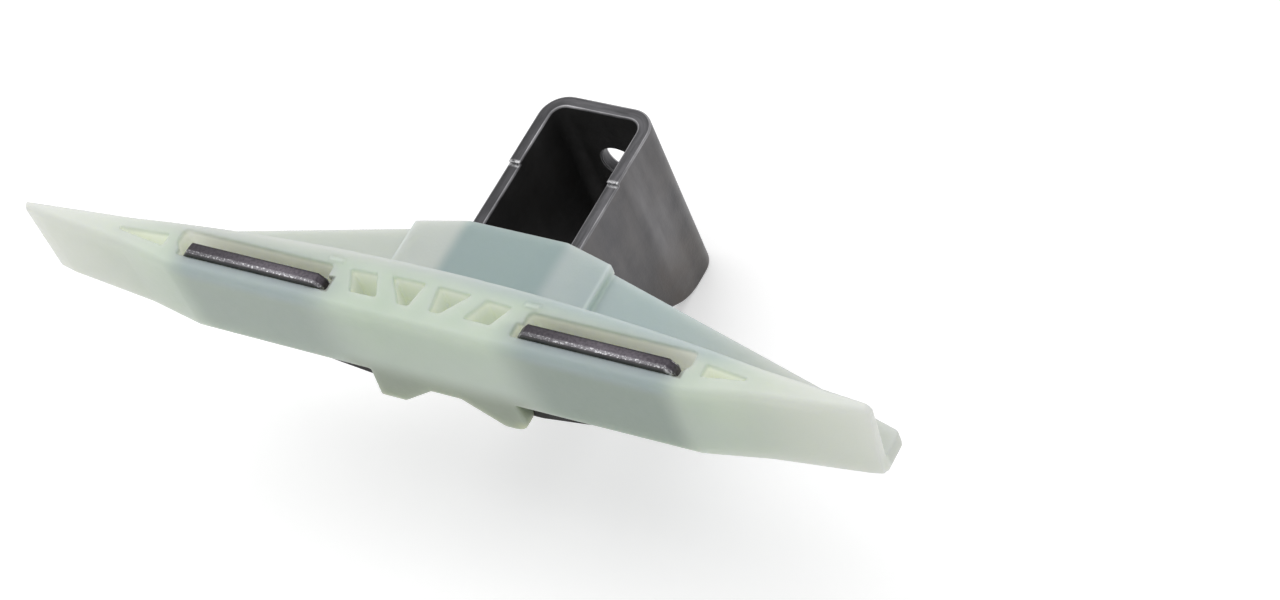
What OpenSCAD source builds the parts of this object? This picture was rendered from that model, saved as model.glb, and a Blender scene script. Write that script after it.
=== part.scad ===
// Timing chain guide: a moulded chain shoe pushed onto the ears of a folded steel bracket.
// Millimetres. The origin is the middle of the bolt hole on the mounting face of the bracket.
// X runs along the chain, Y from the chain to the mounting face, Z to the slotted side of the shoe.

/* [Steel sheet] */
// thickness of the folded steel
sheet_t = 2; // [1.6:0.1:2.4]
// inner radius of every bend
bend_r = 2; // [1.5:0.1:3]

/* [Bracket] */
// width of the loop over both legs
loop_w = 18; // [16:0.2:20]
// distance from the back of the ears to the mounting face
reach = 45; // [40:0.5:55]
// width of the strip at the mounting web
strip_w = 30; // [26:0.5:34]
// how far the upper edge of the mounting web lies below the top of the shoe
strip_drop = 11.6; // [11:0.1:12.4]
// height of the leg where it turns into the ears
root_h = 7.4; // [6:0.1:9]
// length of the full-width strip beside the mounting face
strip_land = 9; // [7:0.5:12]
// radius where the land turns into the slanted leg edge
land_r = 9; // [5:0.5:10]
// distance from the mounting face to the small step down in the upper edge
edge_step_y = 13; // [10:0.5:18]
// height of that step
edge_step_h = 0.4; // [0.2:0.05:0.8]
// distance from the middle to the inner end of an ear
ear_in = 15.5; // [15:0.1:16]
// distance from the middle to the outer end of an ear
ear_out = 38.9; // [37:0.1:39.5]
// how far an ear stands proud of the shoe
ear_proud = 0.5; // [0.2:0.05:1]
// corner cut at the ends of an ear
ear_corner = 1.1; // [0.5:0.1:2]
// depth of the ear below the top of the shoe at its outer end
ear_drop = 14.4; // [14:0.1:16]

/* [Bolt hole] */
// diameter of the hole in the mounting web
hole_d = 6.4; // [5:0.1:8]
// distance from the strip's upper edge to the middle of the hole
hole_drop = 11; // [8:0.2:15]

/* [Shoe] */
// reach of the shoe from the middle to the square tip
tip_left = 68; // [64:0.5:74]
// reach of the shoe from the middle to the slanted tip
tip_right = 65.9; // [65.5:0.1:72]
// how far the slanted tip leans back over the width of the shoe
tip_lean = 1.2; // [0:0.1:4]
// corner cut at the top of the slanted tip
tip_cut = 0.8; // [0.4:0.1:2.5]
// width of the face that the chain runs on
shoe_w = 13.6; // [13:0.1:15]
// half length of the flat part of the chain face
flat_half = 40.4; // [38:0.2:44]
// wall between the chain and the ears
face_t = 2.3; // [1.8:0.1:3.5]
// distance of the tip edge from the back of the ears
tip_y = 1.1; // [0.6:0.05:1.5]
// where the run-off bends, beyond the end of the flat
ramp_run = 9.3; // [7:0.1:12]
// how far the chain face has fallen back at that bend
ramp_fall = 1.7; // [1:0.05:2.2]
// length of the thinned edge at each tip
nose_len = 3; // [1:0.1:5]
// how far the thinned edge falls back
nose_fall = 0.6; // [0.1:0.05:0.8]
// height of the arched back over the back of the ears at the middle
back_rise = 5.1; // [4.8:0.1:6]
// radius of the arched back
back_r = 390; // [360:5:420]
// where the arched back turns into a straight run to the tip
back_run = 50; // [46:0.5:54]
// height of the back at the square tip
back_tip = 0.4; // [0.2:0.05:0.8]

/* [Side plate] */
// half width of the raised pad over the bracket's legs
pad_half = 15.9; // [15.7:0.1:17]
// thickness of the raised pad
pad_t = 1.9; // [1.4:0.1:2.6]
// distance from the back of the ears to the far edge of the pad
pad_reach = 20.1; // [19:0.1:24]
// half length of the straight far edge of the pad
pad_flat = 8; // [6:0.1:10]
// distance of the far edge at the sides of the pad
pad_side = 18.2; // [18:0.1:19]
// thickness of the plate on both sides of the pad
plate_t = 2.4; // [1.6:0.1:2.5]
// distance of the plate's far edge beside the pad
plate_side = 17.7; // [15:0.1:17.9]
// reach of the plate from the middle
plate_out = 65; // [60:0.1:66]
// distance of the far edge at the ends of the plate
plate_end = 4.6; // [4:0.1:7]
// radius of the plate's outer corners
plate_r = 1; // [0.5:0.1:3]

/* [Slots and pockets] */
// play between the ears and the slots
slot_play = 0.1; // [0.05:0.01:0.2]
// play between the strip's upper edge and the pad
pad_play = 0.1; // [0.05:0.01:0.2]
// room at the ends of an ear
slot_room = 0.9; // [0.3:0.1:1.2]
// how far the room behind an ear reaches back
room_back = 2.1; // [1.4:0.1:2.3]
// how far that room reaches past the outer end of the ear
room_over = 1.9; // [1:0.1:2.2]
// radius of its corners
room_r = 0.8; // [0.4:0.1:1.2]
// depth of the room behind the ears
room_depth = 9.5; // [6:0.1:10]
// depth of the windows between the ribs
window_depth = 9.4; // [6:0.1:9.6]
// depth of the pockets in the tips
pocket_depth = 8; // [4:0.1:11]
// where the tip pockets begin
pocket_in = 42.6; // [42:0.1:44]
// distance from a tip to the pointed end of its pocket
pocket_tip = 17.2; // [15:0.1:19]
// length of the two small ribs behind the inner ends of the slots
rib_len = 2.4; // [1.6:0.1:3]
// width of those ribs
rib_w = 0.7; // [0.5:0.1:1]
// height of those ribs
rib_h = 0.3; // [0.1:0.05:0.6]

/* [Clip lobes] */
// depth of the two lobes below the chain face
lobe_drop = 5.9; // [4:0.1:7]
// depth of the saddle between the lobes
saddle_drop = 1.9; // [1:0.1:3]
// distance from the middle to the outer side of a lobe
lobe_out = 12.2; // [11:0.1:13]
// distance from the middle to the inner end of a lobe's lower edge
lobe_in = 8; // [6:0.1:9]
// half width of the saddle
saddle_half = 2.4; // [1:0.1:4]
// radius of the outer corner of the right lobe
lobe_r = 2.4; // [1:0.1:3.5]

/* [Hidden] */
$fn = 64;
shoe_color = [0.74, 0.83, 0.76];
steel_color = [0.36, 0.36, 0.36];
hole_z = -strip_drop - hole_drop;
face_y = -sheet_t - face_t;
slot_y = -sheet_t - slot_play;
bend_out = bend_r + sheet_t;
leg_x = loop_w / 2;
strip_low = -strip_drop - strip_w;
root_low = -strip_drop - root_h;
root_top = -strip_drop - edge_step_h;
pad_low = root_top + pad_play;
pad_top = pad_low + pad_t;
plate_top = plate_t - shoe_w;
// height of the arched back where its straight run begins
run_rise = back_rise - back_r + sqrt(pow(back_r, 2) - pow(back_run, 2));
// fall of the straight run for each millimetre
run_slope = (run_rise - back_tip) / (tip_left - back_run);
// outline of the chain face from the square tip to the slanted one
front = [
  [-tip_left, nose_fall - tip_y], [nose_len - tip_left, -tip_y],
  [-flat_half - ramp_run, face_y + ramp_fall], [-flat_half, face_y],
  [flat_half, face_y], [flat_half + ramp_run, face_y + ramp_fall],
  [tip_right - nose_len, -tip_y], [tip_right, nose_fall - tip_y]
];
// angle of the slanted leg edge under the land
lean_run = reach - strip_land - bend_out;
lean = atan2(strip_w - root_h, lean_run);
// slope of the side plate's far edge
plate_a = atan2(plate_end - plate_side, plate_out - pad_half);

// Points of an arc from angle a to angle b.
function arc(c, r, a, b, n = 8) = [for (i = [0:n]) c + r * [cos(a + (b - a) * i / n), sin(a + (b - a) * i / n)]];

// Moves a piece from the layout, drawn about the ears and the top of the shoe, to the part's frame.
module to_frame() {
  translate([0, -reach, -hole_z]) children();
}

module both_sides() {
  children();
  mirror([1, 0, 0]) children();
}

// A flat outline drawn in X and Z, given depth from y = y0 to y = y1.
module front_prism(points, y0, y1) {
  translate([0, y1, 0]) rotate([90, 0, 0]) linear_extrude(y1 - y0) polygon(points);
}

// A flat outline drawn in Y and Z, given depth on both sides of the middle.
module side_prism(points, half) {
  translate([-half, 0, 0]) rotate([90, 0, 90]) linear_extrude(2 * half) polygon(points);
}

// One quarter of a bend, from the direction a to the direction a + 90.
module bend(a) {
  rotate(a) intersection() {
    difference() {
      circle(bend_out);
      circle(bend_r);
    }
    square(bend_out + 1);
  }
}

// The folded strip seen along Z.
module strip_plan() {
  translate([bend_out - leg_x, reach - sheet_t]) square([loop_w - 2 * bend_out, sheet_t]);
  both_sides() {
    translate([leg_x - sheet_t, bend_r]) square([sheet_t, reach - bend_out - bend_r]);
    translate([leg_x - bend_out, reach - bend_out]) bend(0);
    translate([leg_x + bend_r, bend_r]) bend(180);
    translate([leg_x + bend_r, -sheet_t]) square([ear_out - leg_x - bend_r, sheet_t]);
  }
}

// The bracket's legs and web seen along X, with the slanted lower edge.
module leg_side() {
  side_prism(concat(
    [[-sheet_t - 1, root_top], [reach - edge_step_y, root_top]],
    [[reach - edge_step_y, -strip_drop], [reach + 1, -strip_drop]],
    [[reach + 1, strip_low]],
    arc([reach - strip_land + land_r * tan(lean / 2), strip_low + land_r], land_r, 270, 270 - lean),
    [[bend_out, root_low], [-sheet_t - 1, root_low]]
  ), leg_x + bend_r);
}

// One ear seen along Y.
module ear_front() {
  front_prism([
    [leg_x + bend_r, root_top], [ear_in, root_top],
    [ear_in, ear_proud - ear_corner], [ear_in + ear_corner, ear_proud],
    [ear_out - ear_corner, ear_proud], [ear_out, ear_proud - ear_corner],
    [ear_out, -ear_drop], [leg_x + bend_r + 2, root_low], [leg_x + bend_r, root_low]
  ], -sheet_t - 1, 1);
}

module steel_bracket() {
  color(steel_color) to_frame() difference() {
    intersection() {
      translate([0, 0, strip_low - 1]) linear_extrude(ear_proud - strip_low + 2) strip_plan();
      union() {
        leg_side();
        both_sides() ear_front();
      }
    }
    translate([0, reach + 1, hole_z]) rotate([90, 0, 0]) cylinder(d = hole_d, h = sheet_t + 2);
  }
}

// The arched back with its straight runs to the tips, as a solid.
module arch(low, high) {
  translate([0, back_rise - back_r, low]) cylinder(r = back_r, h = high - low, $fn = 720);
  translate([0, 0, low]) linear_extrude(high - low) both_sides() polygon([
    [back_run - 5, run_rise + 5 * run_slope], [tip_left + 1, back_tip - run_slope],
    [tip_left + 1, face_y - 1], [back_run - 5, face_y - 1]
  ]);
}

// The bar of the shoe with its flat, run-offs, arched back and the two different tips.
module shoe_bar() {
  intersection() {
    translate([0, 0, -shoe_w]) linear_extrude(shoe_w)
      polygon(concat(front, [[tip_right, back_rise + 1], [-tip_left, back_rise + 1]]));
    arch(-shoe_w - 1, 1);
    front_prism([
      [-tip_left, 0], [tip_right - tip_cut, 0], [tip_right, -tip_cut],
      [tip_right - tip_lean, -shoe_w], [-tip_left, -shoe_w]
    ], face_y - 1, back_rise + 2);
  }
}

// The thin plate behind the bar, without the pad.
module side_plate() {
  corner = [plate_out - plate_r, plate_end - plate_r * (tan(plate_a) + 1 / cos(plate_a))];
  translate([0, 0, -shoe_w]) linear_extrude(plate_t) both_sides() polygon(concat(
    [[pad_half - 1, 0], [pad_half - 1, plate_side], [pad_half, plate_side]],
    arc(corner, plate_r, 90 + plate_a, 0),
    [[plate_out, 0]]
  ));
}

// The raised pad that laps over the upper edge of the bracket's legs.
module pad() {
  translate([0, 0, pad_low]) linear_extrude(pad_t) polygon([
    [-pad_half, 0], [-pad_half, pad_side], [-pad_flat, pad_reach],
    [pad_flat, pad_reach], [pad_half, pad_side], [pad_half, 0]
  ]);
  both_sides() translate([pad_half - plate_t, 0, -shoe_w]) cube([plate_t, plate_side, pad_top + shoe_w]);
}

// The skirt with two lobes in front of the bracket's roots.
module lobes() {
  front_prism(concat([
    [-lobe_out + 0.7, -shoe_w + 1], [-lobe_out, -shoe_w - lobe_drop], [-lobe_in, -shoe_w - lobe_drop],
    [-saddle_half, -shoe_w - saddle_drop], [saddle_half, -shoe_w - saddle_drop],
    [lobe_in, -shoe_w - lobe_drop]
  ], arc([lobe_out - lobe_r, lobe_r - shoe_w - lobe_drop], lobe_r, 270, 360), [[lobe_out - 0.7, -shoe_w + 1]]),
  face_y, slot_y);
}

// One window on each side of the middle, drawn in plan.
module windows() {
  translate([0, 0, -window_depth]) linear_extrude(window_depth + 1) both_sides() {
    polygon([[1, 2.6], [6.3, 2.5], [3.3, -1.4], [1.7, -1.4]]);
    polygon([[8.7, 2.3], [12.8, 2.1], [11.1, -1.3], [6.9, -1.2]]);
  }
}

// The pocket in a tip, drawn for the tip that reaches out to the right.
module tip_pocket(tip) {
  translate([0, 0, -pocket_depth]) linear_extrude(pocket_depth + 1)
    polygon([[pocket_in, 0.7], [tip - pocket_tip, 0], [tip - pocket_tip, -0.3], [pocket_in, -1.3]]);
}

module tip_pockets() {
  tip_pocket(tip_right);
  mirror([1, 0, 0]) tip_pocket(tip_left);
}

// The slot of one ear, open at both sides of the shoe, and the room behind the ear.
module ear_slot() {
  translate([ear_in - slot_room, slot_y, -shoe_w - 1])
    cube([ear_out - ear_in + 2 * slot_room, sheet_t + 2 * slot_play, shoe_w + 2]);
  room_end = ear_out + room_over;
  translate([0, 0, -room_depth]) linear_extrude(room_depth + 1) polygon(concat(
    [[ear_in, 0]],
    arc([ear_in + room_r, room_back - room_r], room_r, 180, 90),
    arc([room_end - room_r, room_back - room_r], room_r, 90, 0),
    [[room_end, 0], [room_end - room_r, slot_y / 2], [ear_in, slot_y / 2]]
  ));
}

// Room for the bracket's legs, bends and roots under the bar.
module leg_room() {
  low = -shoe_w - 1;
  translate([plate_t - pad_half, slot_y, low])
    cube([2 * (pad_half - plate_t), back_rise + 1 - slot_y, pad_low - low]);
  translate([-ear_in, slot_y, low]) cube([2 * ear_in, sheet_t + 2 * slot_play, pad_low - low]);
}

// Two small ribs on the wall behind the inner ends of the slots.
module ribs() {
  both_sides() translate([ear_in - rib_len / 2, room_back + 0.4, -1]) cube([rib_len, rib_w, 1 + rib_h]);
}

module chain_shoe() {
  color(shoe_color) to_frame() {
    difference() {
      union() {
        shoe_bar();
        side_plate();
        pad();
        lobes();
      }
      windows();
      tip_pockets();
      both_sides() ear_slot();
      leg_room();
    }
    ribs();
  }
}

chain_shoe();
steel_bracket();
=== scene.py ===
"""Looks of a timing chain guide: a translucent moulded shoe on the ears of a folded steel bracket.

Metres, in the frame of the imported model: X along the chain, Y to the mounting face, Z to the slotted side.
"""
import math

import bmesh
import bpy
from mathutils import Matrix, Vector


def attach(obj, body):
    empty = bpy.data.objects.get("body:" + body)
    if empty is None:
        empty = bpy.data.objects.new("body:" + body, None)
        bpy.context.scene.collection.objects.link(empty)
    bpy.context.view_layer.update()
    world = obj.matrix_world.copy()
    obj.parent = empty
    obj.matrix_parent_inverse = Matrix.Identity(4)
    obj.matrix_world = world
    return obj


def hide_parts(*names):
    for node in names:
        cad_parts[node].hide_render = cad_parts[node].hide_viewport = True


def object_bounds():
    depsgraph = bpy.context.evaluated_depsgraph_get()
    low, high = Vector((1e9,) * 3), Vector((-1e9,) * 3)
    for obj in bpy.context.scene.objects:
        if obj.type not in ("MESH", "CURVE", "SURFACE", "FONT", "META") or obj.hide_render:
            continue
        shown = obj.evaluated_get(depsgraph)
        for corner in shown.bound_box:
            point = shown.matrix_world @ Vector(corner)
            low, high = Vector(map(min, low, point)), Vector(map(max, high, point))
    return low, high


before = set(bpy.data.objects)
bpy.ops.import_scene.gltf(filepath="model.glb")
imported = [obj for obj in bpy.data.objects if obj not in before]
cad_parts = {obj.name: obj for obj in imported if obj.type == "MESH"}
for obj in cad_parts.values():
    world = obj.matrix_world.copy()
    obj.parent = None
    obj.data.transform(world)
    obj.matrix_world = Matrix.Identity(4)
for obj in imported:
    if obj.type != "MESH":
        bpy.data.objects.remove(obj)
cad_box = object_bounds()

MM = 0.001

# Bracket sizes, in millimetres, about the back of the ears and the top of the shoe
SHEET = 2.0
BEND_MID = 3.0
LEG_MID = 8.0
REACH = 45.0
TOP_OF_SHOE = 22.6
STRIP_TOP, STRIP_LOW = -11.6, -41.6
ROOT_TOP, ROOT_LOW = -12.0, -19.0
STRIP_LAND, LAND_R = 9.0, 9.0
EDGE_STEP_Y = 13.0
EAR_IN, EAR_OUT = 15.5, 38.9
EAR_TOP, EAR_CORNER, EAR_DROP = 0.5, 1.1, -14.4
HOLE_R, HOLE_DROP = 3.2, 11.0
RIM_R = 0.28

# Shoe sizes in millimetres: chain face, radii of its two long edges, arched back
SHOE_W = 13.6
EDGE_R, LOW_EDGE_R = 1.1, 0.5
BACK_R, BACK_RISE, BACK_LEAST = 390.0, 5.1, 0.5

# How finely the shoe is remeshed, in millimetres, how often it is smoothed, and the share of faces kept
SHOE_VOXEL, SHOE_SMOOTHING, SHOE_KEPT = 0.12, 22, 0.11

# Places past every part of the model, in millimetres, for bands that are open on one side
BELOW_ALL, ABOVE_ALL = -60.0, 200.0


def link(obj):
    """Puts a new object into the scene."""
    bpy.context.scene.collection.objects.link(obj)
    return obj


def baked(obj, name):
    """A plain object with the mesh that the object's modifiers give; the first one is removed."""
    bpy.context.view_layer.update()
    graph = bpy.context.evaluated_depsgraph_get()
    mesh = bpy.data.meshes.new_from_object(obj.evaluated_get(graph), depsgraph=graph)
    bpy.data.objects.remove(obj)
    mesh.name = name
    return link(bpy.data.objects.new(name, mesh))


# Camera

def photo_camera():
    """The photograph's view of the part, found by fitting a pinhole camera to its edges."""
    data = bpy.data.cameras.new("photo_camera")
    data.sensor_width = 36.0
    data.sensor_fit = "HORIZONTAL"
    data.lens = 96.53
    data.clip_start, data.clip_end = 0.01, 20.0
    cam = link(bpy.data.objects.new("photo_camera", data))
    right = Vector((0.848458, 0.447160, -0.283139))
    up = Vector((-0.198530, 0.764796, 0.612921))
    back = right.cross(up)
    turn = Matrix((right, up, back)).transposed().to_4x4()
    cam.matrix_world = Matrix.Translation((0.242599, -0.239144, 0.343354)) @ turn
    bpy.context.scene.camera = cam


# Node helpers

class Nodes:
    """Short calls for building one node tree."""

    def __init__(self, tree):
        self.tree = tree

    def put(self, socket, value):
        """Gives an input a number or a colour, or links it to another node's output."""
        if isinstance(value, bpy.types.NodeSocket):
            self.tree.links.new(value, socket)
        else:
            socket.default_value = value

    def add(self, kind, inputs=None, **settings):
        """A node with its settings and its inputs."""
        node = self.tree.nodes.new(kind)
        for key, value in settings.items():
            setattr(node, key, value)
        for key, value in (inputs or {}).items():
            self.put(node.inputs[key], value)
        return node

    def math(self, operation, a, b=0.0, c=0.0, clamp=False):
        """The result of one Math node."""
        node = self.add("ShaderNodeMath", {0: a, 1: b, 2: c}, operation=operation)
        node.use_clamp = clamp
        return node.outputs[0]

    def group(self, tree, **inputs):
        """The first output of a node group with its named inputs."""
        node = self.tree.nodes.new(self.tree.bl_idname.replace("Tree", "Group"))
        node.node_tree = tree
        for key, value in inputs.items():
            self.put(node.inputs[key], value)
        return node.outputs[0]

    def mix(self, share, a, b):
        """Two colours mixed."""
        node = self.add("ShaderNodeMix", {0: share, 6: a, 7: b}, data_type="RGBA")
        return node.outputs[2]

    def lay(self, colour, share, mask, over):
        """A colour with a share of another laid over it where the mask is."""
        return self.mix(self.math("MULTIPLY", mask, share), colour, over)

    def band(self, value, low, high, soft):
        """1 where a value lies between two places."""
        return self.group(SOFT_BAND, Value=value, Low=low, High=high, Soft=soft)

    def above(self, value, low, soft):
        """1 where a value lies above a place."""
        return self.band(value, low, ABOVE_ALL, soft)

    def below(self, value, high, soft):
        """1 where a value lies below a place."""
        return self.band(value, BELOW_ALL, high, soft)

    def all_of(self, *masks):
        """Where all the masks are."""
        out = masks[0]
        for mask in masks[1:]:
            out = self.math("MULTIPLY", out, mask)
        return out

    def either(self, a, b):
        """Where one of two masks is."""
        return self.math("MAXIMUM", a, b)

    def in_mm(self, vector):
        """The three parts of a place, in millimetres."""
        parts = self.add("ShaderNodeSeparateXYZ", {0: vector}).outputs
        return [self.math("MULTIPLY", parts[i], 1 / MM) for i in range(3)]


def rgb(red, green, blue):
    """A display colour, 0 to 255, as a linear colour with full alpha."""
    def linear(v):
        v /= 255
        return v / 12.92 if v <= 0.04045 else ((v + 0.055) / 1.055) ** 2.4
    return (linear(red), linear(green), linear(blue), 1.0)


def new_group(name, kind, inputs, output):
    """An empty node group with named inputs and one output."""
    tree = bpy.data.node_groups.new(name, kind)
    for label, socket, value in inputs:
        made = tree.interface.new_socket(label, in_out="INPUT", socket_type=socket)
        if value is not None:
            made.default_value = value
    tree.interface.new_socket(output[0], in_out="OUTPUT", socket_type=output[1])
    given = tree.nodes.new("NodeGroupInput").outputs
    result = tree.nodes.new("NodeGroupOutput").inputs
    return tree, Nodes(tree), given, result


def soft_band_group():
    """1 between two places, falling softly to 0 outside them."""
    tree, n, given, result = new_group("soft_band", "ShaderNodeTree", [
        ("Value", "NodeSocketFloat", 0.0), ("Low", "NodeSocketFloat", 0.0),
        ("High", "NodeSocketFloat", 1.0), ("Soft", "NodeSocketFloat", 0.1),
    ], ("Mask", "NodeSocketFloat"))

    def edge(place):
        return n.add("ShaderNodeMapRange", {
            "Value": given["Value"],
            "From Min": n.math("SUBTRACT", given[place], given["Soft"]),
            "From Max": n.math("ADD", given[place], given["Soft"]),
        }, interpolation_type="SMOOTHSTEP").outputs[0]

    n.put(result[0], n.math("SUBTRACT", edge("Low"), edge("High"), clamp=True))
    return tree


def mottle_group():
    """Uneven patches between two values, from a noise whose grain can be drawn out."""
    tree, n, given, result = new_group("mottle", "ShaderNodeTree", [
        ("Vector", "NodeSocketVector", None), ("Scale", "NodeSocketFloat", 100.0),
        ("Detail", "NodeSocketFloat", 3.0), ("Low", "NodeSocketFloat", 0.0),
        ("High", "NodeSocketFloat", 1.0),
    ], ("Value", "NodeSocketFloat"))
    noise = n.add("ShaderNodeTexNoise", {
        "Vector": given["Vector"], "Scale": given["Scale"], "Detail": given["Detail"], "Roughness": 0.55,
    })
    spread = n.add("ShaderNodeMapRange", {
        "Value": noise.outputs["Fac"], "From Min": 0.3, "From Max": 0.7,
        "To Min": given["Low"], "To Max": given["High"],
    })
    n.put(result[0], spread.outputs[0])
    return tree


SOFT_BAND = soft_band_group()
MOTTLE = mottle_group()


def new_material(name):
    """A material with its Principled shader's inputs, and the short calls for its nodes."""
    mat = bpy.data.materials.new(name)
    mat.use_nodes = True
    return mat, Nodes(mat.node_tree), mat.node_tree.nodes["Principled BSDF"].inputs


# Materials

def nylon_material():
    """Natural nylon: pale aqua; painted light makes it cream where it is thin and in its hollows, and
    painted shade darkens one side and, with the steel seen through it, the places where steel stands behind
    it.
    """
    mat, n, shader = new_material("natural_nylon")
    place = n.add("ShaderNodeTexCoord").outputs["Object"]
    x, y, z = n.in_mm(place)
    side = n.math("ABSOLUTE", x)
    deep = n.math("SUBTRACT", TOP_OF_SHOE, z)
    back = n.math("ADD", y, REACH)
    arch = n.math("MULTIPLY_ADD", n.math("MULTIPLY", x, x), -0.5 / BACK_R, BACK_RISE)
    wall = n.math("SUBTRACT", back, n.math("MAXIMUM", arch, BACK_LEAST))

    cloud = n.group(MOTTLE, Vector=place, Scale=60.0, Detail=2.0)
    colour = n.mix(cloud, rgb(192, 206, 191), rgb(199, 211, 199))
    # the arched wall and the plate, with painted shade: darker and bluer on the side of the pad away from
    # the lamp, and grey far out where the plate is thin
    plate = n.either(n.all_of(n.above(wall, -1.5, 1.3), n.below(side, 47.0, 6.0)), n.above(wall, 0.3, 0.3))
    shade_side = n.above(x, 4.0, 22.0)
    colour = n.mix(plate, colour, n.mix(shade_side, rgb(195, 201, 196), rgb(168, 183, 185)))
    far_out = n.all_of(plate, n.above(x, 36.0, 14.0), n.above(wall, 0.2, 0.3))
    colour = n.mix(far_out, colour, rgb(188, 193, 190))
    # painted highlight along the step of the pad, where its edge catches the light
    step = n.all_of(n.band(side, 15.5, 16.4, 0.3), n.above(wall, 0.5, 0.3))
    colour = n.lay(colour, 0.55, step, rgb(210, 222, 219))
    # thin tips let the light through
    tips = n.all_of(n.above(side, 48.0, 11.0), n.math("MULTIPLY_ADD", plate, -0.75, 1.0))
    colour = n.lay(colour, 0.75, tips, rgb(222, 225, 219))
    # steel ears behind the chain face, darkening it partly as steel seen through the nylon and partly as
    # painted shade, deeper on the side away from the lamp, with a painted sky reflection as a bluish brow
    # along the round edge
    ears = n.all_of(n.above(side, EAR_IN, 4.5), n.below(side, EAR_OUT, 2.6), n.below(back, -0.4, 0.8))
    colour = n.lay(colour, 0.85, ears, n.mix(shade_side, rgb(168, 182, 172), rgb(148, 163, 153)))
    colour = n.lay(colour, 0.6, n.all_of(ears, n.below(deep, 1.8, 1.0)), rgb(166, 180, 186))
    # painted shade of the dark hollow of the loop, seen through the pad
    loop = n.all_of(n.below(side, 8.2, 1.2), n.above(back, 4.6, 0.6), n.above(deep, 8.6, 1.0))
    colour = n.lay(colour, 0.85, loop, rgb(146, 167, 167))
    # roots of the legs behind the lobes, seen through the nylon, with painted shade low on the lobes; and
    # the pale round end of one lobe
    roots_and_low_shade = n.all_of(n.below(side, 14.5, 1.5), n.above(deep, 12.6, 2.6), n.below(back, 2.0, 0.5))
    colour = n.lay(colour, 0.85, roots_and_low_shade, rgb(142, 152, 134))
    round_end = n.all_of(n.band(x, 10.6, 20.0, 0.8), n.above(deep, 17.6, 0.8))
    colour = n.lay(colour, 0.5, round_end, rgb(192, 196, 160))
    # painted light in the depths of the windows, rooms and pockets: a paler colour and a faint glow,
    # standing in for the light that the thin walls let in from all sides
    pit_light = n.all_of(
        n.band(deep, 0.6, 13.0, 0.5), n.above(back, -1.9, 0.25),
        n.below(wall, -0.5, 0.25), n.below(side, 51.5, 0.5),
    )
    colour = n.lay(colour, 0.95, pit_light, rgb(238, 243, 233))
    pit_glow = n.mix(n.below(side, 14.0, 0.3), rgb(222, 227, 208), rgb(166, 174, 158))
    n.put(shader["Emission Color"], n.mix(pit_light, rgb(0, 0, 0), pit_glow))
    n.put(shader["Emission Strength"], 0.14)
    # painted shade in the gap at one end of each ear
    ends = n.either(n.band(x, -15.4, -14.2, 0.2), n.band(x, 39.0, 40.3, 0.2))
    colour = n.lay(colour, 0.8, n.all_of(ends, n.band(back, -2.3, 0.3, 0.2)), rgb(96, 99, 92))

    n.put(shader["Base Color"], colour)
    n.put(shader["Roughness"], n.group(MOTTLE, Vector=place, Scale=900.0, Detail=4.0, Low=0.34, High=0.46))
    grain = n.group(MOTTLE, Vector=place, Scale=2200.0, Detail=3.0)
    bump = n.add("ShaderNodeBump", {"Height": grain, "Strength": 0.08, "Distance": 0.0002})
    n.put(shader["Normal"], bump.outputs[0])
    n.put(shader["IOR"], 1.53)
    n.put(shader["Subsurface Weight"], 1.0)
    n.put(shader["Subsurface Radius"], (1.0, 1.0, 0.8))
    n.put(shader["Subsurface Scale"], 0.006)
    return mat


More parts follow.
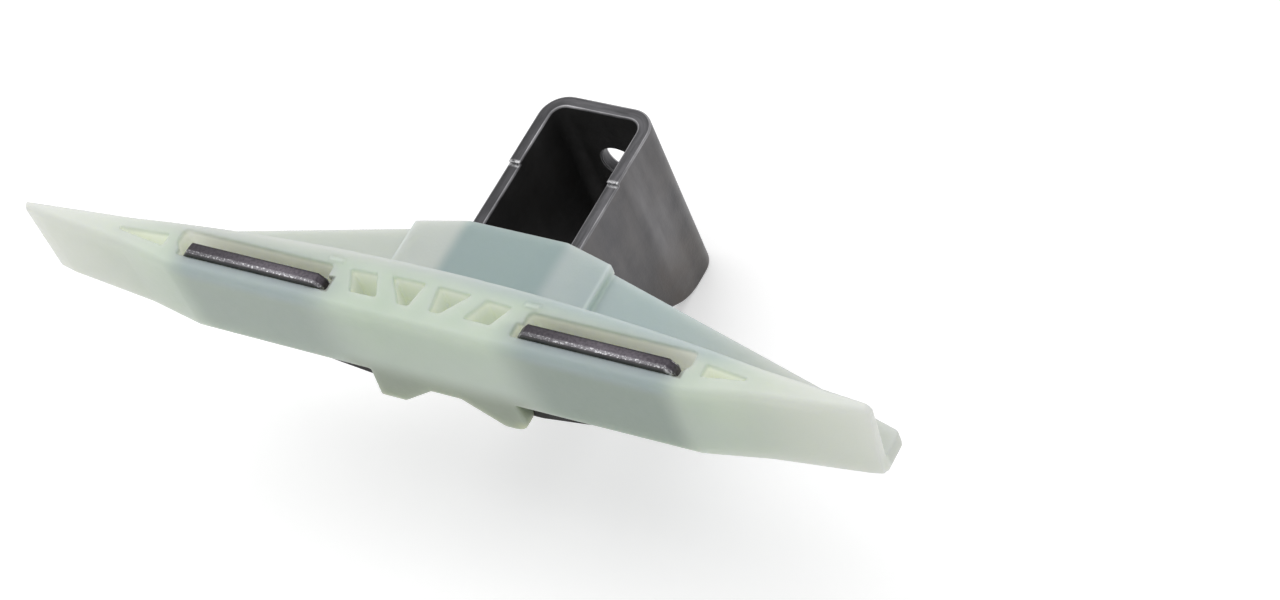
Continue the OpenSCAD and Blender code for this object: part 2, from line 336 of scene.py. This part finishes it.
def steel_material():
    """Raw strip steel: dark rolled faces with soft streaks and sheared edges, with painted shade inside the
    loop and painted highlights on the rims, beside the bend and at the edge steps.
    """
    mat, n, shader = new_material("raw_steel")
    blank = n.add("ShaderNodeAttribute", attribute_name="blank_place").outputs["Vector"]
    cut = n.add("ShaderNodeAttribute", attribute_name="cut_edge").outputs["Fac"]
    place = n.add("ShaderNodeTexCoord").outputs["Object"]
    along, through, height = n.in_mm(blank)
    run = n.math("ABSOLUTE", along)

    upright = n.add("ShaderNodeMapping", {"Vector": blank, "Scale": (3.0, 1.0, 0.5)}).outputs[0]
    streak = n.group(MOTTLE, Vector=upright, Scale=90.0, Detail=5.0)
    lengthwise = n.add("ShaderNodeMapping", {"Vector": blank, "Scale": (0.12, 1.0, 0.12)}).outputs[0]
    drawn = n.group(MOTTLE, Vector=lengthwise, Scale=1500.0, Detail=3.0)
    patch = n.group(MOTTLE, Vector=place, Scale=170.0, Detail=5.0)
    grain = n.group(MOTTLE, Vector=place, Scale=2600.0, Detail=2.0)

    colour = n.mix(streak, rgb(76, 76, 79), rgb(96, 95, 97))
    colour = n.lay(colour, 0.4, patch, rgb(114, 110, 107))
    # a painted sheen beside the bend, a brown stain near the low corner of one leg, darker low edges
    colour = n.lay(colour, 0.55, n.all_of(n.band(run, 12.5, 17.0, 1.6), streak), rgb(140, 139, 141))
    stain = n.all_of(n.band(along, 9.0, 20.0, 5.0), n.band(height, -44.0, -32.0, 5.0), patch)
    colour = n.lay(colour, 0.5, stain, rgb(108, 94, 80))
    colour = n.lay(colour, 0.4, n.below(height, -30.0, 7.0), rgb(66, 63, 61))
    # painted shade inside the loop and on the ears below the shoe
    sheltered = n.either(n.below(run, 52.0, 2.0), n.below(height, -12.8, 0.4))
    shaded_inside = n.all_of(n.math("LESS_THAN", through, -0.9), sheltered)
    colour = n.lay(colour, 0.85, shaded_inside, rgb(34, 33, 32))
    # cut edges, drawn along the strip, darker on one leg
    sheared = n.mix(drawn, rgb(66, 66, 68), rgb(98, 97, 100))
    sheared = n.lay(sheared, 0.6, n.band(along, -60.0, -9.0, 2.0), rgb(52, 52, 54))
    # tops of the ears: a dark line at the back, and in front a band of painted highlight along the rim, with
    # white speckles of painted glint
    ear = n.above(height, -1.5, 0.3)
    ear_top = n.mix(grain, rgb(74, 69, 76), rgb(100, 95, 101))
    ear_top = n.lay(ear_top, 0.8, n.above(through, 0.7, 0.1), rgb(46, 43, 48))
    speckle = n.math("GREATER_THAN", n.group(MOTTLE, Vector=place, Scale=3200.0, Detail=3.0), 0.7)
    front_highlight = n.mix(speckle, n.mix(grain, rgb(112, 109, 114), rgb(140, 138, 142)), rgb(210, 210, 212))
    ear_top = n.mix(n.below(through, -0.35, 0.12), ear_top, front_highlight)
    colour = n.lay(colour, 0.95, cut, n.mix(ear, sheared, ear_top))
    # painted highlights: lighter rims, and bright glints at the edge steps and at one end of each ear
    rim = n.band(n.math("ABSOLUTE", through), 0.7, 0.985, 0.02)
    rim_highlight = n.all_of(rim, n.math("SUBTRACT", 1.0, ear))
    colour = n.lay(colour, 0.85, rim_highlight, n.mix(drawn, rgb(96, 95, 98), rgb(190, 189, 192)))
    ends = n.either(n.band(along, 80.3, 81.4, 0.2), n.band(along, -58.0, -57.0, 0.2))
    glints = n.either(n.all_of(n.band(run, 18.3, 19.1, 0.2), cut), n.all_of(ends, rim, ear))
    colour = n.lay(colour, 0.8, n.all_of(glints, grain), rgb(228, 228, 230))

    n.put(shader["Base Color"], colour)
    rough = n.group(MOTTLE, Vector=place, Scale=240.0, Detail=4.0, Low=0.36, High=0.5)
    n.put(shader["Roughness"], n.math("MULTIPLY_ADD", shaded_inside, 0.3, rough))
    bump = n.add("ShaderNodeBump", {"Height": grain, "Strength": 0.12, "Distance": 0.0001})
    n.put(shader["Normal"], bump.outputs[0])
    n.put(shader["Metallic"], 0.85)
    return mat


# Steel bracket

def blank_outline():
    """Half of the flat blank in millimetres, as places along the strip and heights, and two flat lengths."""
    bend = BEND_MID * math.pi / 2
    web = LEG_MID - BEND_MID
    leg = REACH - SHEET / 2 - BEND_MID
    leg_low = BEND_MID - SHEET / 2
    ear_start = web + bend + leg - leg_low + bend

    def on_leg(y):
        return web + bend + leg - y

    def on_ear(x):
        return ear_start + x - LEG_MID - BEND_MID

    lean = math.atan2(ROOT_LOW - STRIP_LOW, REACH - STRIP_LAND - BEND_MID - SHEET / 2)
    mid_y = REACH - STRIP_LAND + LAND_R * math.tan(lean / 2)
    step = on_leg(REACH - EDGE_STEP_Y)
    points = [(0.0, STRIP_TOP), (step, STRIP_TOP), (step, ROOT_TOP)]
    points += [(on_ear(EAR_IN), ROOT_TOP), (on_ear(EAR_IN), EAR_TOP - EAR_CORNER)]
    points += [(on_ear(EAR_IN + EAR_CORNER), EAR_TOP), (on_ear(EAR_OUT - EAR_CORNER), EAR_TOP)]
    points += [(on_ear(EAR_OUT), EAR_TOP - EAR_CORNER), (on_ear(EAR_OUT), EAR_DROP)]
    points += [(on_ear(LEG_MID + BEND_MID + 2), ROOT_LOW), (on_leg(BEND_MID + SHEET / 2), ROOT_LOW)]
    for i in range(9):
        a = math.radians(270) - lean * (1 - i / 8)
        points.append((on_leg(mid_y + LAND_R * math.cos(a)), STRIP_LOW + LAND_R + LAND_R * math.sin(a)))
    points.append((0.0, STRIP_LOW))
    for i in range(25):
        a = math.radians(-90 + 180 * i / 24)
        points.append((HOLE_R * math.cos(a), STRIP_TOP - HOLE_DROP + HOLE_R * math.sin(a)))
    return points, web, leg - leg_low


def flat_blank():
    """The punched blank as a plate with rounded edges, cut across where it will bend."""
    points, web, leg = blank_outline()
    bm = bmesh.new()
    seen = {}

    def vert(s, h):
        key = (round(s, 5), round(h, 5))
        if key not in seen:
            seen[key] = bm.verts.new((s * MM, -SHEET / 2 * MM, h * MM))
        return seen[key]

    faces = [bm.faces.new([vert(s, h) for s, h in points])]
    faces.append(bm.faces.new([vert(-s, h) for s, h in reversed(points)]))
    grown = bmesh.ops.extrude_face_region(bm, geom=faces)["geom"]
    moved = [g for g in grown if isinstance(g, bmesh.types.BMVert)]
    bmesh.ops.translate(bm, verts=moved, vec=(0, SHEET * MM, 0))
    bmesh.ops.recalc_face_normals(bm, faces=bm.faces)
    rims = [
        e for e in bm.edges
        if len(e.link_faces) == 2 and sum(abs(f.normal.y) > 0.9 for f in e.link_faces) == 1
    ]
    bmesh.ops.bevel(
        bm, geom=rims, offset=RIM_R * MM, segments=3, profile=0.5, affect="EDGES", clamp_overlap=False)
    bend = BEND_MID * math.pi / 2
    stations = []
    for start in (web, web + bend + leg):
        stations += [start + bend * i / 12 for i in range(13)]
    stations += [web + bend + leg * i / 10 for i in range(1, 10)]
    for s in stations:
        for sign in (1, -1):
            geom = bm.verts[:] + bm.edges[:] + bm.faces[:]
            place = (sign * s * MM, 0, 0)
            bmesh.ops.bisect_plane(bm, geom=geom, plane_co=place, plane_no=(1, 0, 0), dist=1e-7)
    mesh = bpy.data.meshes.new("steel_blank")
    bm.to_mesh(mesh)
    bm.free()
    return link(bpy.data.objects.new("steel_blank", mesh)), web, leg


def fold_tree(material):
    """Folds a flat strip into the loop: half web, bend, leg, bend the other way, ear; both halves alike."""
    tree, n, given, result = new_group("fold_strip", "GeometryNodeTree", [
        ("Strip", "NodeSocketGeometry", None), ("Web Half", "NodeSocketFloat", 0.005),
        ("Leg", "NodeSocketFloat", 0.039), ("Bend Radius", "NodeSocketFloat", 0.003),
        ("Mid Plane", "NodeSocketFloat", -0.001), ("Hole Height", "NodeSocketFloat", 0.0226),
    ], ("Bracket", "NodeSocketGeometry"))
    quarter = math.pi / 2

    def stage(value, limit):
        return n.math("MAXIMUM", n.math("MINIMUM", value, limit), 0.0)

    def less_cosine(turn):
        return n.math("MULTIPLY", radius, n.math("SUBTRACT", 1.0, n.math("COSINE", turn)))

    def sine(turn):
        return n.math("MULTIPLY", radius, n.math("SINE", turn))

    place = n.add("GeometryNodeInputPosition").outputs[0]
    normal = n.add("GeometryNodeInputNormal").outputs[0]
    kept = n.add("GeometryNodeStoreNamedAttribute", {
        "Geometry": given["Strip"], "Name": "blank_place", "Value": place,
    }, data_type="FLOAT_VECTOR", domain="POINT")
    flat = n.math("ABSOLUTE", n.add("ShaderNodeSeparateXYZ", {0: normal}).outputs[1])
    marked = n.add("GeometryNodeStoreNamedAttribute", {
        "Geometry": kept.outputs[0], "Name": "cut_edge", "Value": n.math("LESS_THAN", flat, 0.6),
    }, data_type="FLOAT", domain="FACE")
    # how far a place on the strip has gone through each stage of the fold
    xyz = n.add("ShaderNodeSeparateXYZ", {0: place}).outputs
    run = n.math("ABSOLUTE", xyz[0])
    radius = given["Bend Radius"]
    arc = n.math("MULTIPLY", radius, quarter)
    web = stage(run, given["Web Half"])
    left = n.math("SUBTRACT", run, given["Web Half"])
    turn_1 = stage(n.math("DIVIDE", left, radius), quarter)
    left = n.math("SUBTRACT", left, arc)
    leg = stage(left, given["Leg"])
    left = n.math("SUBTRACT", left, given["Leg"])
    turn_2 = stage(n.math("DIVIDE", left, radius), quarter)
    ear = n.math("MAXIMUM", n.math("SUBTRACT", left, arc), 0.0)
    heading = n.math("SUBTRACT", turn_1, turn_2)
    # the middle of the sheet there, and the place off the middle
    path_x = n.math("ADD", n.math("ADD", n.math("ADD", web, ear), sine(turn_1)), less_cosine(turn_2))
    drop = n.math("ADD", n.math("ADD", less_cosine(turn_1), leg), sine(turn_2))
    path_y = n.math("SUBTRACT", given["Mid Plane"], drop)
    out_x = n.math("ADD", path_x, n.math("MULTIPLY", xyz[1], n.math("SINE", heading)))
    out_y = n.math("ADD", path_y, n.math("MULTIPLY", xyz[1], n.math("COSINE", heading)))
    folded = n.add("ShaderNodeCombineXYZ", {
        0: n.math("MULTIPLY", out_x, n.math("SIGN", xyz[0])), 1: out_y,
        2: n.math("ADD", xyz[2], given["Hole Height"]),
    }).outputs[0]
    moved = n.add("GeometryNodeSetPosition", {"Geometry": marked.outputs[0], "Position": folded})
    real = n.add("GeometryNodeRealizeInstances", {"Geometry": moved.outputs[0]})
    dressed = n.add("GeometryNodeSetMaterial", {"Geometry": real.outputs[0], "Material": material})
    n.put(result[0], dressed.outputs[0])
    return tree


def set_inputs(modifier, tree, values):
    """Sets a modifier's inputs by their sockets' identifiers."""
    for item in tree.interface.items_tree:
        if item.in_out == "INPUT" and item.name in values:
            modifier[item.identifier] = values[item.name]


def shade_smooth(obj):
    """Smooth shading on every face."""
    for p in obj.data.polygons:
        p.use_smooth = True


def steel_bracket(material):
    """The folded bracket, from its blank."""
    blank, web, leg = flat_blank()
    tree = fold_tree(material)
    fold = blank.modifiers.new("fold", "NODES")
    fold.node_group = tree
    set_inputs(fold, tree, {
        "Web Half": web * MM, "Leg": leg * MM, "Bend Radius": BEND_MID * MM,
        "Mid Plane": -SHEET / 2 * MM, "Hole Height": TOP_OF_SHOE * MM,
    })
    obj = baked(blank, "steel_bracket_fold")
    shade_smooth(obj)
    obj.data.set_sharp_from_angle(angle=math.radians(50))
    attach(obj, "root")
    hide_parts("steel_bracket")
    return obj


# Chain shoe

def long_edges(bm, level):
    """The edges of the chain face at one height, given in millimetres."""
    def at_level(v):
        return abs(v.co.z - level * MM) < 1e-5 and v.co.y < (-REACH - 0.3) * MM

    return [
        e for e in bm.edges
        if all(at_level(v) for v in e.verts)
        and any(f.normal.y < -0.7 for f in e.link_faces)
        and any(abs(f.normal.z) > 0.9 for f in e.link_faces)
    ]


def moulded_shoe(material):
    """The shoe with the soft edges of a moulding."""
    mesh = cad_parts["chain_shoe"].data.copy()
    bm = bmesh.new()
    bm.from_mesh(mesh)
    bmesh.ops.remove_doubles(bm, verts=bm.verts, dist=1e-6)
    bmesh.ops.dissolve_limit(bm, angle_limit=math.radians(0.5), verts=bm.verts, edges=bm.edges)
    for level, radius in ((TOP_OF_SHOE, EDGE_R), (TOP_OF_SHOE - SHOE_W, LOW_EDGE_R)):
        bmesh.ops.bevel(
            bm, geom=long_edges(bm, level), offset=radius * MM, segments=5, profile=0.5,
            affect="EDGES", clamp_overlap=False)
    bm.to_mesh(mesh)
    bm.free()
    mesh.materials.clear()
    obj = link(bpy.data.objects.new("shoe_rough", mesh))
    remesh = obj.modifiers.new("voxels", "REMESH")
    remesh.mode = "VOXEL"
    remesh.voxel_size = SHOE_VOXEL * MM
    smooth = obj.modifiers.new("soften", "SMOOTH")
    smooth.factor = 0.5
    smooth.iterations = SHOE_SMOOTHING
    thin = obj.modifiers.new("thin", "DECIMATE")
    thin.ratio = SHOE_KEPT
    obj = baked(obj, "chain_shoe_moulding")
    obj.data.materials.append(material)
    shade_smooth(obj)
    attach(obj, "root")
    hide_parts("chain_shoe")
    return obj


# Stage

def floor():
    """A plain white floor that keeps the shadow."""
    size = 3.0
    low = cad_box[0].z - 0.0002
    corners = [(-size, -size, low), (size, -size, low), (size, size, low), (-size, size, low)]
    mesh = bpy.data.meshes.new("floor")
    mesh.from_pydata(corners, [], [(0, 1, 2, 3)])
    obj = link(bpy.data.objects.new("floor", mesh))
    mat, n, shader = new_material("floor_white")
    n.put(shader["Base Color"], (0.9, 0.9, 0.9, 1))
    n.put(shader["Roughness"], 0.9)
    n.put(shader["Specular IOR Level"], 0.0)
    path = n.add("ShaderNodeLightPath").outputs
    seen = n.either(n.either(path["Is Camera Ray"], path["Is Glossy Ray"]), path["Is Transmission Ray"])
    n.put(shader["Emission Color"], (1, 1, 1, 1))
    n.put(shader["Emission Strength"], n.math("MULTIPLY", seen, 0.36))
    obj.data.materials.append(mat)


def soft_light():
    """Even white surroundings and one large soft lamp overhead, a little to the square tip's side."""
    world = bpy.data.worlds.new("studio")
    bpy.context.scene.world = world
    world.use_nodes = True
    n = Nodes(world.node_tree)
    back = world.node_tree.nodes["Background"].inputs
    n.put(back["Color"], (1, 1, 1, 1))
    path = n.add("ShaderNodeLightPath").outputs
    n.put(back["Strength"], n.math("MULTIPLY_ADD", path["Is Camera Ray"], 0.37, 0.63))
    lamp = bpy.data.lights.new("softbox", "AREA")
    lamp.shape = "RECTANGLE"
    lamp.size, lamp.size_y = 0.7, 0.7
    lamp.energy = 2.3
    obj = link(bpy.data.objects.new("softbox", lamp))
    place = Vector((-0.25, 0.16, 0.7))
    obj.matrix_world = Matrix.Translation(place) @ place.to_track_quat("Z", "Y").to_matrix().to_4x4()


photo_camera()
bpy.context.scene.view_settings.view_transform = "Standard"
soft_light()
floor()
moulded_shoe(nylon_material())
steel_bracket(steel_material())
